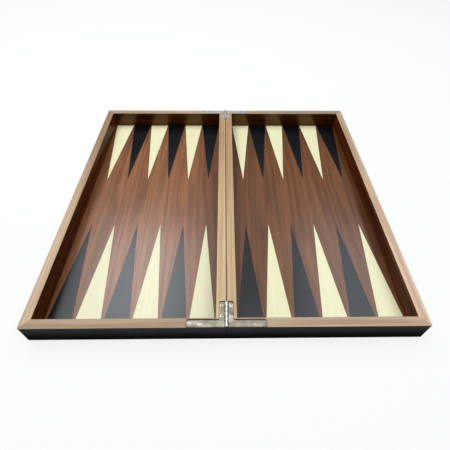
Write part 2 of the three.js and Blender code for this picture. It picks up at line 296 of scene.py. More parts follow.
cloth_level = fade(tree, height, dark_up_to, pale_from, 0.0, CLOTH_PALE)
dim = add_node(tree, "Emission", {"Color": PURE_WHITE, "Strength": cloth_level})
tree.links.new(dim.outputs[0], tree.nodes["Material Output"].inputs["Surface"])
cloth.data.materials.append(cloth_paint)
print("dark cloth:", CLOTH_RADIUS, "m from the board")

# %% [markdown]
# ## Groups of nodes
#
# Grain, handling marks and rubbed edges come back in several finishes. A node group is built once, gets named
# sockets, and is then placed in each material with its own values, as a stencil is used again on another
# board. Copying the nodes by hand would work too, but a later change would have to be made in every copy.

# %% Helpers: node groups
def new_group(name, inputs, outputs):
    group = bpy.data.node_groups.new(name, "ShaderNodeTree")
    for socket, kind, value in inputs:
        made = group.interface.new_socket(socket, in_out="INPUT", socket_type="NodeSocket" + kind)
        if value is not None:
            made.default_value = value
    for socket, kind in outputs:
        group.interface.new_socket(socket, in_out="OUTPUT", socket_type="NodeSocket" + kind)
    source = group.nodes.new("NodeGroupInput").outputs
    sink = group.nodes.new("NodeGroupOutput").inputs
    return group, source, sink


def use_group(tree, group, values):
    node = tree.nodes.new("ShaderNodeGroup")
    node.node_tree = group
    return fill_sockets(tree, node, values).outputs


def noise(tree, place, settings):
    return add_node(tree, "TexNoise", {"Vector": place, **settings}).outputs[0]


print("helpers for node groups are ready")

# %% [markdown]
# ## What every wooden surface shares
#
# Wood has the same parts in every species: broad bands where the growth rings were sliced, fine fibres along
# the trunk, and pores that show as short dark strokes. Noise that is stretched along the grain gives all
# three, each at its own scale. A slow drift pushes the bands sideways, because no trunk is straight. The
# group puts out only the three masks, so that each wood can colour them in its own way. Its place input runs
# along the grain in Y and is measured in metres.

# %% Group: wood grain
DRIFT_NOISE = {"Scale": 0.35, "Detail": 2.0}
BAND_NOISE = {"Scale": 1.0, "Detail": 6.0, "Roughness": 0.60, "Distortion": 0.25}
RING_WAVES = {"Scale": 0.30, "Distortion": 5.0, "Detail": 3.0, "Detail Scale": 0.8}
FIBRE_NOISE = {"Scale": 1.0, "Detail": 3.0, "Roughness": 0.6}
PORE_NOISE = {"Scale": 1.0, "Detail": 1.0}
NOISE_MIDDLE = 0.5
SIDEWAYS_DRIFT = 6.0
BAND_SHARE = 0.84
RING_SHARE = 0.16
FIBRE_FINENESS = (7.0, 1.4, 7.0)
PORE_FINENESS = (19.0, 3.4, 19.0)
FIGURE_STEP = (0.28, 0.72)
PORE_STEP = (0.60, 0.70)


def finer(tree, place, factors):
    return add_node(tree, "VectorMath", {0: place, 1: factors}, operation="MULTIPLY").outputs[0]


def wandering_place(group, given):
    across = given["Bands per metre"]
    along = calc(group, "DIVIDE", across, given["Stretch"])
    scale = add_node(group, "CombineXYZ", {0: across, 1: along, 2: across}).outputs[0]
    place = finer(group, given["Place"], scale)
    drift = calc(group, "SUBTRACT", noise(group, place, DRIFT_NOISE), NOISE_MIDDLE)
    offset = calc(group, "MULTIPLY", drift, given["Wander"])
    shift = add_node(group, "CombineXYZ", {0: scaled(group, offset, SIDEWAYS_DRIFT), 2: offset}).outputs[0]
    return add_node(group, "VectorMath", {0: place, 1: shift}, operation="ADD").outputs[0]


def build_wood_grain():
    group, given, made = new_group(
        "wood_grain",
        [("Place", "Vector", None), ("Bands per metre", "Float", 90.0), ("Stretch", "Float", 14.0),
         ("Wander", "Float", 0.8)],
        [("Bands", "Float"), ("Fibres", "Float"), ("Pores", "Float")],
    )
    place = wandering_place(group, given)
    rings = add_node(
        group, "TexWave", {"Vector": place, **RING_WAVES}, bands_direction="X", wave_profile="SIN")
    broad = scaled(group, noise(group, place, BAND_NOISE), BAND_SHARE)
    bands = calc(group, "ADD", broad, scaled(group, rings.outputs["Fac"], RING_SHARE))
    fibres = noise(group, finer(group, place, FIBRE_FINENESS), FIBRE_NOISE)
    pores = noise(group, finer(group, place, PORE_FINENESS), PORE_NOISE)
    group.links.new(fade(group, bands, *FIGURE_STEP), made["Bands"])
    group.links.new(fade(group, fibres, *FIGURE_STEP), made["Fibres"])
    group.links.new(fade(group, pores, *PORE_STEP), made["Pores"])
    return group


wood_grain = build_wood_grain()
print("group:", wood_grain.name, "with", len(wood_grain.nodes), "nodes")

# %% [markdown]
# ## Handling marks
#
# A board that is played on is touched all over. Fingers leave patches where the lacquer is a little duller,
# and hairline scratches run every way. The patches are one soft noise. Scratches could be drawn as curves,
# but noise that is stretched until only thin streaks are left, laid at three angles, costs less.

# %% Group: handling marks
HAIRLINE_TURNS = (20.0, 75.0, 140.0)
HAIRLINE_STRETCH = (1.0, 0.03, 1.0)
PATCH_STEP = (0.35, 0.72)
HAIRLINE_STEP = (0.66, 0.74)
PATCH_DETAIL = 5.0
HAIRLINE_DETAIL = 2.0


def largest_of(tree, values):
    return calc(tree, "MAXIMUM", calc(tree, "MAXIMUM", values[0], values[1]), values[2])


def build_handling_marks():
    group, given, made = new_group(
        "handling_marks",
        [("Place", "Vector", None), ("Patches per metre", "Float", 14.0),
         ("Hairlines per metre", "Float", 160.0)],
        [("Patches", "Float"), ("Hairlines", "Float")],
    )
    patches = noise(
        group, given["Place"], {"Scale": given["Patches per metre"], "Detail": PATCH_DETAIL})
    group.links.new(fade(group, patches, *PATCH_STEP), made["Patches"])
    lines = []
    for turn in HAIRLINE_TURNS:
        turned = add_node(
            group, "Mapping",
            {"Vector": given["Place"], "Rotation": (0.0, 0.0, radians(turn)), "Scale": HAIRLINE_STRETCH})
        streak = noise(
            group, turned.outputs[0], {"Scale": given["Hairlines per metre"], "Detail": HAIRLINE_DETAIL})
        lines.append(fade(group, streak, *HAIRLINE_STEP))
    group.links.new(largest_of(group, lines), made["Hairlines"])
    return group


handling_marks = build_handling_marks()
print("group:", handling_marks.name, "with", len(handling_marks.nodes), "nodes")

# %% [markdown]
# ## Rubbed edges
#
# Edges lose their finish first. An edge shows itself by its normal: on a flat face the normal lies along one
# axis, while on the narrow chamfer between two faces even its largest part is well below one. Gritty noise
# breaks the mark up, because wear is never even. The Pointiness of a mesh would be another way, but it needs
# far more vertices than a plain board has.

# %% Group: rubbed edges
FLAT_FROM = 0.99
CHAMFER_UP_TO = 0.90
GRIT_NOISE = {"Scale": 90.0, "Detail": 4.0}
WEAR_STEP = (0.85, 1.15)


def build_rubbed_edges():
    group, given, made = new_group(
        "rubbed_edges",
        [("Place", "Vector", None), ("Normal", "Vector", None), ("Spread", "Float", 0.5)],
        [("Rub", "Float")],
    )
    sizes = [calc(group, "ABSOLUTE", axis) for axis in split(group, given["Normal"])]
    chamfer = fade(group, largest_of(group, sizes), FLAT_FROM, CHAMFER_UP_TO)
    grit = noise(group, given["Place"], GRIT_NOISE)
    wear = fade(group, calc(group, "ADD", grit, given["Spread"]), *WEAR_STEP)
    group.links.new(calc(group, "MULTIPLY", chamfer, wear), made["Rub"])
    return group


rubbed_edges = build_rubbed_edges()
print("group:", rubbed_edges.name, "with", len(rubbed_edges.nodes), "nodes")

# %% [markdown]
# ## The oiled top of a rail
#
# The rails are sawn from pale walnut and only oiled on top. Their grain is drawn as a figure around one, darker in
# the bands and pores and paler on rubbed edges, and then multiplied into the tone of the plank. So one figure
# serves planks of every tone. Each rail has a pair of tones, which blends along the board. The blend is partly the
# plank's own tone and partly painted shade where a rail darkens towards its far or outer end.

# %% The figure of the rails
RAIL_GRAIN = {"Bands per metre": 150.0, "Stretch": 30.0, "Wander": 0.5}
RAIL_BAND_DARK = (0.74, 0.72, 0.70, 1.0)
RAIL_BAND_PALE = (1.18, 1.18, 1.18, 1.0)
RAIL_PORE = (0.50, 0.46, 0.42, 1.0)
RAIL_RUBBED = (1.2, 1.2, 1.2, 1.0)
RAIL_FIBRE_SHARE = 0.35
RAIL_PORE_SHARE = 0.40
RAIL_RUB_SHARE = 0.35
TONE_BLEND = (-0.20, 0.20)


def rail_top(tree, place, grain, rub, tones):
    along = split(tree, place)[Y_AXIS]
    tone = blend_colours(tree, fade(tree, along, *TONE_BLEND), shade(tones[0], 1.0), shade(tones[1], 1.0))
    figure = blend_colours(tree, grain["Bands"], RAIL_BAND_DARK, RAIL_BAND_PALE)
    figure = blend_colours(tree, scaled(tree, grain["Fibres"], RAIL_FIBRE_SHARE), figure, PURE_WHITE)
    figure = blend_colours(tree, scaled(tree, grain["Pores"], RAIL_PORE_SHARE), figure, RAIL_PORE)
    figure = blend_colours(tree, scaled(tree, rub["Rub"], RAIL_RUB_SHARE), figure, RAIL_RUBBED)
    return blend_colours(tree, 1.0, tone, figure, "MULTIPLY")


print("rail grain:", RAIL_GRAIN)

# %% [markdown]
# ## Where a rail is stained
#
# The walls inside the trays are stained dark and lacquered, so that they mirror the points in front of them, and
# the outer lip is stained a dark brown to go with the outside. Three materials could share a rail, each on its own
# faces, but a hard border would then run along every edge. One material is softer: it asks how far the surface
# faces into the tray, which the object's own normal tells, and fades from one finish to the other. The floors of
# the mortises take the dark wall colour as painted shade for the slits round the leaves: they face up, but lie
# below the rim.

# %% Masks of the stained wall and lip
RIM_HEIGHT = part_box("left_front_rail")[1].z
MORTISE_SHADE_DEPTHS = (0.0006, 0.0012)
SHADED_FLOOR_FACING = (0.3, 0.7)
WALL_FACING = (0.35, 0.95)
LIP_FACING = (-0.45, -0.85)


def stained_parts(tree, source, inward):
    facing = add_node(tree, "VectorMath", {0: source["Normal"], 1: inward}, operation="DOT_PRODUCT")
    turned_in = facing.outputs["Value"]
    height = split(tree, source["Object"])[Z_AXIS]
    upward = split(tree, source["Normal"])[Z_AXIS]
    below_rim = fade(tree, height, *(RIM_HEIGHT - depth for depth in MORTISE_SHADE_DEPTHS))
    # Painted shade: upward faces below the rim, the mortise floors, join the wall mask and take its dark colour.
    mortise = calc(tree, "MULTIPLY", below_rim, fade(tree, upward, *SHADED_FLOOR_FACING))
    wall = calc(tree, "MAXIMUM", fade(tree, turned_in, *WALL_FACING), mortise)
    lip = fade(tree, turned_in, *LIP_FACING)
    return wall, lip


print("rim at", round(RIM_HEIGHT, 4), "m")

# %% [markdown]
# ## Relief
#
# Pores are small pits, fibres are small ridges, and a scratch is a furrow. They are far too fine to model, so
# a bump node bends the normal instead. Its distance is the real depth of the relief in metres, and its
# strength is how much of that is left once oil or lacquer has filled it.

# %% Helper: relief
def emboss(tree, shader, height, strength, depth):
    bump = add_node(tree, "Bump", {"Height": height, "Strength": strength, "Distance": depth})
    tree.links.new(bump.outputs[0], shader.inputs["Normal"])


print("helper for relief is ready")

# %% [markdown]
# ## Painting a rail
#
# Top, wall and lip now come together in one material. Grain runs along a rail, so front and back rails turn
# the pattern by a quarter. Oiled wood has a soft gloss of a warm tint, and the lacquer on the wall is the
# shader's coat, a second and smoother gloss, which only the stained part receives. A rail's finish says how
# much the wood shines, how thick the lacquer on its wall is and how pale the stain came out.

# %% Material: rail walnut
WALL_PALE = (0.142, 0.036, 0.0040)
WALL_DARK = (0.046, 0.0076, 0.0008)
WALL_GLOSS = 0.16
WALL_COAT_ROUGHNESS = 0.12
LACQUER_IOR = 1.45
LIP_STAIN = (0.060, 0.040, 0.028, 1.0)
OILED_ROUGHNESS = (0.42, 0.54)
WARM_GLOSS = (1.0, 0.68, 0.36, 1.0)
RAIL_PATCHES = 22.0
RAIL_EDGE_WEAR = 0.45
RAIL_FIBRE_RIDGE = 0.4
RAIL_RELIEF = 0.25
RAIL_DEPTH = 0.0002


def paint_rail(name, tones, turn, inward, finish):
    material, tree, wood = new_material("rail_walnut_" + name)
    source = add_node(tree, "TexCoord").outputs
    turned = {"Vector": source["Object"], "Rotation": (0.0, 0.0, turn)}
    place = add_node(tree, "Mapping", turned).outputs[0]
    grain = use_group(tree, wood_grain, {"Place": place, **RAIL_GRAIN})
    marks = use_group(
        tree, handling_marks, {"Place": source["Object"], "Patches per metre": RAIL_PATCHES})
    rub = use_group(
        tree, rubbed_edges,
        {"Place": source["Object"], "Normal": source["Normal"], "Spread": RAIL_EDGE_WEAR})

    wall, lip = stained_parts(tree, source, inward)
    top_colour = rail_top(tree, place, grain, rub, tones)
    dark_stain = shade(WALL_DARK, finish["wall_level"])
    pale_stain = shade(WALL_PALE, finish["wall_level"])
    wall_colour = blend_colours(tree, grain["Bands"], dark_stain, pale_stain)
    # The wall mask also carries the painted shade of the mortise floors.
    colour = blend_colours(tree, wall, top_colour, wall_colour)
    oiled = between(tree, marks["Patches"], OILED_ROUGHNESS)
    fill_sockets(tree, wood, {
        "Base Color": blend_colours(tree, lip, colour, LIP_STAIN),
        "Roughness": blend_values(tree, wall, oiled, WALL_GLOSS),
        "Specular IOR Level": finish["shine"],
        "Specular Tint": WARM_GLOSS,
        "Coat Weight": scaled(tree, wall, finish["wall_coat"]),
        "Coat Roughness": WALL_COAT_ROUGHNESS,
        "Coat IOR": LACQUER_IOR,
    })
    ridges = scaled(tree, grain["Fibres"], RAIL_FIBRE_RIDGE)
    emboss(tree, wood, calc(tree, "SUBTRACT", ridges, grain["Pores"]), RAIL_RELIEF, RAIL_DEPTH)
    return material


print("stained wall:", WALL_DARK, "to", WALL_PALE)

# %% [markdown]
# ## Eight rails from eight planks
#
# Every rail has its own pair of tones: the first is the tone at the left or near end of the board, the second
# at the right or far end. The back rails catch the panels and shine the most. Front and centre rails have the
# thickest lacquer on their walls, and the side rails are the dullest. A table of recipes shows at a glance
# what the eight have in common and where they differ.

# %% Paint the eight rails
# The tone pairs are partly each plank's own tone and partly painted shade, darker towards a rail's far or outer
# end.
LEFT_FRONT_TONES = ((0.480, 0.348, 0.234), (0.500, 0.368, 0.248))
RIGHT_FRONT_TONES = ((0.650, 0.480, 0.335), (0.560, 0.406, 0.284))
LEFT_BACK_TONES = ((0.440, 0.332, 0.232), (0.600, 0.455, 0.320))
RIGHT_BACK_TONES = ((0.590, 0.462, 0.330), (0.335, 0.264, 0.186))
LEFT_SIDE_TONES = ((0.680, 0.500, 0.340), (0.350, 0.230, 0.142))
RIGHT_SIDE_TONES = ((0.760, 0.550, 0.400), (0.530, 0.385, 0.255))
LEFT_CENTRE_TONES = ((0.680, 0.490, 0.285), (0.515, 0.332, 0.174))
RIGHT_CENTRE_TONES = ((0.610, 0.440, 0.255), (0.475, 0.298, 0.164))
QUARTER_TURN = pi / 2
NO_TURN = 0.0
FACING_RIGHT = (1.0, 0.0, 0.0)
FACING_LEFT = (-1.0, 0.0, 0.0)
FACING_BACK = (0.0, 1.0, 0.0)
FACING_FRONT = (0.0, -1.0, 0.0)
GLOSSY = {"shine": 0.70, "wall_coat": 0.04, "wall_level": 0.60}
SATIN = {"shine": 0.07, "wall_coat": 0.30, "wall_level": 1.0}
DULL = {"shine": 0.02, "wall_coat": 0.09, "wall_level": 1.20}
RAIL_RECIPES = {
    "left_front_rail": (LEFT_FRONT_TONES, QUARTER_TURN, FACING_BACK, SATIN),
    "left_back_rail": (LEFT_BACK_TONES, QUARTER_TURN, FACING_FRONT, GLOSSY),
    "left_side_rail": (LEFT_SIDE_TONES, NO_TURN, FACING_RIGHT, DULL),
    "left_centre_rail": (LEFT_CENTRE_TONES, NO_TURN, FACING_LEFT, SATIN),
    "right_front_rail": (RIGHT_FRONT_TONES, QUARTER_TURN, FACING_BACK, SATIN),
    "right_back_rail": (RIGHT_BACK_TONES, QUARTER_TURN, FACING_FRONT, GLOSSY),
    "right_side_rail": (RIGHT_SIDE_TONES, NO_TURN, FACING_LEFT, DULL),
    "right_centre_rail": (RIGHT_CENTRE_TONES, NO_TURN, FACING_RIGHT, SATIN),
}
RAIL_PAINTS = {node: paint_rail(node, *recipe) for node, recipe in RAIL_RECIPES.items()}
print("rail walnut:", len(RAIL_PAINTS), "rails")

# %% [markdown]
# ## Clear lacquer over veneer
#
# Field and points are veneers under one coat of clear lacquer, rubbed flat together. The coat of the shader
# is just that: a smooth gloss above the wood, with its own roughness. The wood beneath gets no gloss of its
# own, because lacquer fills its pores. Only a trace of relief is left, and the scratches are in the coat.

# %% Helper: lacquered veneer
COAT_ROUGHNESS = 0.24
UNDER_LACQUER = (0.45, 0.60)
VENEER_FIBRE_RIDGE = 0.3
VENEER_SCRATCH = 0.5
VENEER_DEPTH = 0.0001


def lacquer_over(tree, wood, colour, grain, marks, relief):
    fill_sockets(tree, wood, {
        "Base Color": colour,
        "Roughness": between(tree, marks["Patches"], UNDER_LACQUER),
        "Specular IOR Level": 0.0,
        "Coat Weight": 1.0,
        "Coat Roughness": COAT_ROUGHNESS,
        "Coat IOR": LACQUER_IOR,
    })
    height = calc(tree, "SUBTRACT", scaled(tree, grain["Fibres"], VENEER_FIBRE_RIDGE), grain["Pores"])
    height = calc(tree, "SUBTRACT", height, scaled(tree, marks["Hairlines"], VENEER_SCRATCH))
    emboss(tree, wood, height, relief, VENEER_DEPTH)


print("lacquer: roughness", COAT_ROUGHNESS)

# %% [markdown]
# ## The figure of the field
#
# The field is a walnut veneer of a redder tone, with its figure running from player to player. Bands go from
# a darker to a paler shade of one tone, fibres lie over them as pale streaks, and pores are the darkest.
# Walnut is never of one hue, so a second grain, taken from elsewhere in the same pattern, tints its streaks
# red or olive.

# %% Colours along the grain of the field
FIELD_GRAIN = {"Bands per metre": 84.0, "Stretch": 13.0, "Wander": 0.8}
FIELD_BAND_DARK = 0.62
FIELD_BAND_PALE = 1.38
FIELD_STREAK = 1.10
FIELD_STREAK_SHARES = (0.0, 0.45)
FIELD_PORE = 0.42
FIELD_PORE_SHARE = 0.40
HUE_GRAIN = {"Bands per metre": 70.0, "Stretch": 12.0, "Wander": 1.0}
HUE_OFFSET = (0.37, 0.11, 0.0)
RED_STREAK = (1.045, 0.950, 0.915, 1.0)
OLIVE_STREAK = (0.960, 1.065, 1.010, 1.0)


def field_figure(tree, place, grain, tone):
    colour = blend_colours(
        tree, grain["Bands"], shade(tone, FIELD_BAND_DARK), shade(tone, FIELD_BAND_PALE))
    streaks = between(tree, grain["Fibres"], FIELD_STREAK_SHARES)
    colour = blend_colours(tree, streaks, colour, shade(tone, FIELD_STREAK))
    pores = scaled(tree, grain["Pores"], FIELD_PORE_SHARE)
    colour = blend_colours(tree, pores, colour, shade(tone, FIELD_PORE))
    aside = add_node(tree, "Mapping", {"Vector": place, "Location": HUE_OFFSET}).outputs[0]
    hue = use_group(tree, wood_grain, {"Place": aside, **HUE_GRAIN})
    tint = blend_colours(tree, hue["Bands"], RED_STREAK, OLIVE_STREAK)
    return blend_colours(tree, 1.0, colour, tint, "MULTIPLY")


print("field grain:", FIELD_GRAIN)

# %% [markdown]
# ## The two fields
#
# Each tray has one sheet. Beside the fold runs a strip of painted shade, which stands in for the shade of the
# centre rails. Towards the outer side and the far end the sheet is darkened with painted shade from the walls.
# Both are a share of black, mixed in by the distance from the fold or from the middle of the board. A second tone
# there would hide the figure, while a share of black lets the grain show through. The two sheets differ in tone
# and in the strength of the painted shade beside the fold.

# %% Materials: left and right field
LEFT_FIELD_TONE = (0.254, 0.101, 0.044)
RIGHT_FIELD_TONE = (0.168, 0.064, 0.025)
LEFT_FOLD_SHADE_LEVEL = 0.58
RIGHT_FOLD_SHADE_LEVEL = 0.78
FOLD_SHADE_FULL = 0.022
FOLD_SHADE_FADES = 0.075
SIDE_WALL_SHADE = (0.200, 0.237)
BACK_WALL_SHADE = (0.135, 0.235)
WALL_SHADE_SHARE = 0.30
FIELD_RELIEF = 0.10
PURE_BLACK = (0.0, 0.0, 0.0, 1.0)


# Painted shade: black mixed in beside the fold, where the centre rails shade the field, and near the outer side
# and far walls.
def field_painted_shade(tree, place, fold_shade_level):
    axes = split(tree, place)
    from_fold = calc(tree, "ABSOLUTE", axes[X_AXIS])
    fold_shade = fade(tree, from_fold, FOLD_SHADE_FADES, FOLD_SHADE_FULL)
    fold_shade = scaled(tree, fold_shade, 1.0 - fold_shade_level)
    side = fade(tree, from_fold, *SIDE_WALL_SHADE)
    back = fade(tree, axes[Y_AXIS], *BACK_WALL_SHADE)
    wall_shade = scaled(tree, calc(tree, "MAXIMUM", side, back), WALL_SHADE_SHARE)
    return calc(tree, "MAXIMUM", fold_shade, wall_shade)


def paint_field(name, tone, fold_shade_level):
    material, tree, wood = new_material(name)
    place = add_node(tree, "TexCoord").outputs["Object"]
    grain = use_group(tree, wood_grain, {"Place": place, **FIELD_GRAIN})
    marks = use_group(tree, handling_marks, {"Place": place})
    colour = field_figure(tree, place, grain, tone)
    colour = blend_colours(tree, field_painted_shade(tree, place, fold_shade_level), colour, PURE_BLACK)
    lacquer_over(tree, wood, colour, grain, marks, FIELD_RELIEF)
    return material


left_field = paint_field("field_walnut_left", LEFT_FIELD_TONE, LEFT_FOLD_SHADE_LEVEL)
right_field = paint_field("field_walnut_right", RIGHT_FIELD_TONE, RIGHT_FOLD_SHADE_LEVEL)
print("fields:", left_field.name, right_field.name)

# %% [markdown]
# ## The points
#
# The points are inlays in the sheet: a pale wood, and a wood dyed black that still shows its fibres when light
# rakes it. An inlay needs two shades of its wood and the shade of its pores, so both woods can follow one recipe.
# The pale points are painted brighter than their wood, as painted light where the lamps leave them dim. The left
# front row is the exception: the reflected panel already brightens it, so it keeps its shades at the plain level.

# %% Materials: pale, aged and dyed inlay
INLAY_GRAIN = {"Bands per metre": 130.0, "Stretch": 18.0, "Wander": 0.5}
INLAY_FIBRE_SHARE = 0.35
INLAY_RELIEF = 0.08
CREAM_PALE = (0.795, 0.770, 0.505)
CREAM_DARK = (0.755, 0.720, 0.450)
CREAM_PORE = (0.690, 0.635, 0.385)
CREAM_PORE_SHARE = 0.35
# Painted light: all pale points but the left front row are painted brighter than their wood.
CREAM_LIFTED_LEVEL = 1.14
CREAM_PLAIN_LEVEL = 1.0
DYED_PALE = (0.0006, 0.0028, 0.0046)
DYED_DARK = (0.0002, 0.0014, 0.0026)
DYED_PORE_SHARE = 0.60


def paint_inlay(name, pale, dark, pore, pore_share, level=1.0):
    material, tree, wood = new_material(name)
    place = add_node(tree, "TexCoord").outputs["Object"]
    grain = use_group(tree, wood_grain, {"Place": place, **INLAY_GRAIN})
    marks = use_group(tree, handling_marks, {"Place": place})
    fibres = scaled(tree, grain["Fibres"], INLAY_FIBRE_SHARE)
    pores = scaled(tree, grain["Pores"], pore_share)
    colour = blend_colours(tree, grain["Bands"], shade(dark, level), shade(pale, level))
    colour = blend_colours(tree, fibres, colour, shade(pale, level))
    colour = blend_colours(tree, pores, colour, shade(pore, level))
    lacquer_over(tree, wood, colour, grain, marks, INLAY_RELIEF)
    return material


cream = (CREAM_PALE, CREAM_DARK, CREAM_PORE, CREAM_PORE_SHARE)
pale_inlay = paint_inlay("pale_inlay", *cream, CREAM_LIFTED_LEVEL)
plain_level_inlay = paint_inlay("plain_level_inlay", *cream, CREAM_PLAIN_LEVEL)
dyed_inlay = paint_inlay("dyed_inlay", DYED_PALE, DYED_DARK, DYED_DARK, DYED_PORE_SHARE)
print("points:", pale_inlay.name, plain_level_inlay.name, dyed_inlay.name)

# %% [markdown]
# ## Black lacquer
#
# Outside, the trays are sprayed black. Sprayed lacquer is never quite flat: it has the faint dimples of orange
# peel, and edges where the coat is rubbed to grey. From the foot up towards the rim the black is painted paler and
# a little blue, broken up by the patches. This is a painted reflection of the table and the room, with painted
# shade at the foot. Only the underside slides on tables until it is polished, so it alone gets a glossy coat. A
# plain black with gloss all over would look like plastic.

# %% Material: sprayed black
LACQUER_BLACK = (0.0050, 0.0050, 0.0055, 1.0)
LACQUER_PAINTED_SHEEN = (0.0610, 0.0605, 0.0650, 1.0)
LACQUER_WORN = (0.0900, 0.0800, 0.0720, 1.0)
LACQUER_PATCHES = 18.0
LACQUER_EDGE_WEAR = 0.20
LACQUER_WORN_SHARE = 0.5
LACQUER_ROUGHNESS = (0.30, 0.42)
SHEEN_RISE = 1.5
SHEEN_LEVELS = (0.85, 1.0)
ORANGE_PEEL = {"Scale": 700.0, "Detail": 1.0}
LACQUER_SCRATCH = 0.6
LACQUER_RELIEF = 0.10
LACQUER_DEPTH = 0.0001
POLISH_LEVELS = (1.0, 0.75)
UNDERSIDE_FACING = (-0.2, -0.9)


# Painted reflection: the black grows paler from the foot to the rim, with painted shade at the foot.
def painted_sheen_share(tree, source, marks):
    height = split(tree, source["Object"])[Z_AXIS]
    risen = calc(tree, "POWER", fade(tree, height, 0.0, RIM_HEIGHT), SHEEN_RISE)
    return calc(tree, "MULTIPLY", risen, between(tree, marks["Patches"], SHEEN_LEVELS))


def polished_share(tree, source, marks):
    upward = split(tree, source["Normal"])[Z_AXIS]
    polish = between(tree, marks["Hairlines"], POLISH_LEVELS)
    return calc(tree, "MULTIPLY", polish, fade(tree, upward, *UNDERSIDE_FACING))


def paint_sprayed_black():
    material, tree, coat = new_material("sprayed_black")
    source = add_node(tree, "TexCoord").outputs
    marks = use_group(
        tree, handling_marks, {"Place": source["Object"], "Patches per metre": LACQUER_PATCHES})
    rub = use_group(
        tree, rubbed_edges,
        {"Place": source["Object"], "Normal": source["Normal"], "Spread": LACQUER_EDGE_WEAR})
    colour = blend_colours(tree, painted_sheen_share(tree, source, marks), LACQUER_BLACK, LACQUER_PAINTED_SHEEN)
    worn = scaled(tree, rub["Rub"], LACQUER_WORN_SHARE)
    fill_sockets(tree, coat, {
        "Base Color": blend_colours(tree, worn, colour, LACQUER_WORN),
        "Roughness": between(tree, marks["Patches"], LACQUER_ROUGHNESS),
        "Specular IOR Level": 0.0,
        "Coat Weight": polished_share(tree, source, marks),
        "Coat Roughness": COAT_ROUGHNESS,
        "Coat IOR": LACQUER_IOR,
    })
    scratches = scaled(tree, marks["Hairlines"], LACQUER_SCRATCH)
    dimples = calc(tree, "SUBTRACT", noise(tree, source["Object"], ORANGE_PEEL), scratches)
    emboss(tree, coat, dimples, LACQUER_RELIEF, LACQUER_DEPTH)
    return material


sprayed_black = paint_sprayed_black()
print("outside:", sprayed_black.name)

# %% [markdown]
# ## Nickel
#
# The hinges are stamped steel with a thin nickel plating, which mirrors softly and has fine lines from the
# polishing wheel. The front hinge is painted darker and warmer than nickel, as painted shade where it mirrors the
# bright panel. The back hinge and the screws are painted lighter, as painted light where they mirror the dark
# cloth and as painted glints on the screw heads. On the barrels, above the rim, the plating is painted paler and
# more metallic as a painted highlight. Tarnish is a film that is no metal, so it lowers Metallic instead of only
# darkening the colour.

# %% Material: nickel plating
# Painted light: the front colours are painted darker, and the back and screw colours lighter, than the plating
# itself.
NICKEL_SHADED = (0.272, 0.246, 0.194, 1.0)
NICKEL_TARNISH = (0.192, 0.170, 0.130, 1.0)
NICKEL_BRIGHTENED = (0.620, 0.575, 0.520, 1.0)
NICKEL_LIGHTENED = (0.480, 0.470, 0.430, 1.0)
NICKEL_BARREL_HIGHLIGHT = (0.660, 0.650, 0.610, 1.0)
NICKEL_MARKS = {"Patches per metre": 120.0, "Hairlines per metre": 900.0}
NICKEL_METAL = (0.55, 0.30)
BARREL_HIGHLIGHT_METAL = 0.75
BARREL_HIGHLIGHT_RISE = 0.0004
NICKEL_ROUGHNESS = (0.34, 0.46)
NICKEL_SHINE = 0.2
POLISH_STRETCH = (1.0, 0.02, 1.0)
POLISH_NOISE = {"Scale": 4000.0, "Detail": 2.0}
POLISH_ROUGHNESS = 0.08
NICKEL_RELIEF = 0.12
NICKEL_DEPTH = 0.00005


def paint_nickel(name, plating_colour, tarnish):
    material, tree, plate = new_material(name)
    source = add_node(tree, "TexCoord").outputs
    marks = use_group(tree, handling_marks, {"Place": source["Object"], **NICKEL_MARKS})
    height = split(tree, source["Object"])[Z_AXIS]
    # Painted highlight: the barrels above the rim are painted paler and more metallic.
    barrel_highlight = fade(tree, height, RIM_HEIGHT, RIM_HEIGHT + BARREL_HIGHLIGHT_RISE)
    lines = add_node(tree, "Mapping", {"Vector": source["Object"], "Scale": POLISH_STRETCH})
    polish = noise(tree, lines.outputs[0], POLISH_NOISE)
    colour = blend_colours(tree, marks["Patches"], plating_colour, tarnish)
    film = between(tree, marks["Patches"], NICKEL_METAL)
    dull = between(tree, marks["Patches"], NICKEL_ROUGHNESS)
    fill_sockets(tree, plate, {
        "Base Color": blend_colours(tree, barrel_highlight, colour, NICKEL_BARREL_HIGHLIGHT),
        "Metallic": calc(tree, "MAXIMUM", film, scaled(tree, barrel_highlight, BARREL_HIGHLIGHT_METAL)),
        "Roughness": calc(tree, "ADD", dull, scaled(tree, polish, POLISH_ROUGHNESS)),
        "Specular IOR Level": NICKEL_SHINE,
    })
    emboss(tree, plate, calc(tree, "SUBTRACT", polish, marks["Hairlines"]), NICKEL_RELIEF, NICKEL_DEPTH)
    return material


front_nickel = paint_nickel("nickel_front", NICKEL_SHADED, NICKEL_TARNISH)
back_nickel = paint_nickel("nickel_back", NICKEL_BRIGHTENED, NICKEL_LIGHTENED)
screw_nickel = paint_nickel("nickel_screw", NICKEL_LIGHTENED, NICKEL_TARNISH)
print("hardware:", front_nickel.name, back_nickel.name, screw_nickel.name)

# %% [markdown]
# ## Dressing the CAD nodes
#
# Most CAD nodes have the right shape as they are, so they only change their material. Painting each by hand would
# be sixty clicks. The record says which slot each node belongs to. The few that need a paint of their own are
# looked up by name: rails, fields, and the left front row of pale points, which keeps the plain level without
# painted light.

# %% Assign materials to the CAD nodes
SLOT_PAINTS = {
    "light_inlay": pale_inlay,
    "dark_inlay": dyed_inlay,
    "black_lacquer": sprayed_black,
    "nickel": front_nickel,
}
NODE_PAINTS = {**RAIL_PAINTS, "left_field": left_field, "right_field": right_field}
PLAIN_LEVEL_ROW = "left_front_point"

